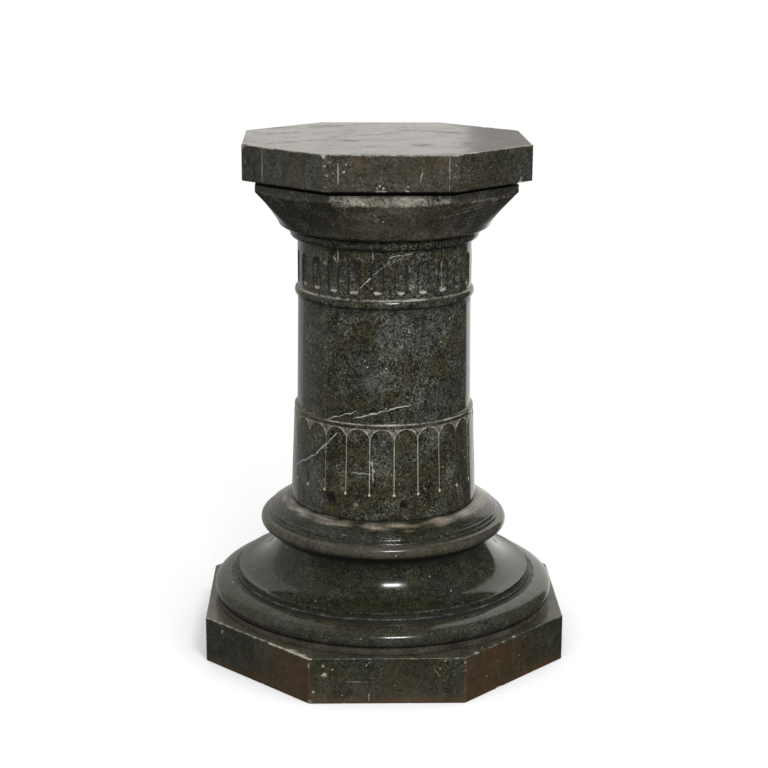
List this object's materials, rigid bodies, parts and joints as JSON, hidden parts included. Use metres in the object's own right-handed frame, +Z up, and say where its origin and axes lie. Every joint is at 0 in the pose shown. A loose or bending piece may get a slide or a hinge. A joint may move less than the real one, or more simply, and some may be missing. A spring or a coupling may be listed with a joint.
{
  "type": "pedestal",
  "caption": "Low marble pedestal: octagonal plinth, moulded round base, short drum with flutes and tongues, capital and octagonal top slab that carries a load.",
  "frame": {"origin": "middle of the plinth's underside, on the axis of the shaft", "axes": "+Z up along the axis of the shaft, -Y out of the front flat of the plinth"},
  "size_m": [0.5, 0.5, 0.7216],
  "materials": {
    "plinth": "worn, half polished",
    "turned_base": "polished",
    "shaft": "polished",
    "capital": "satin",
    "top_slab": "satin"
  },
  "bodies": {
    "root": {"plinth": "plinth", "turned_base": "turned_base", "shaft": "shaft", "capital": "capital", "top_slab": "top_slab"}
  },
  "joints": []
}
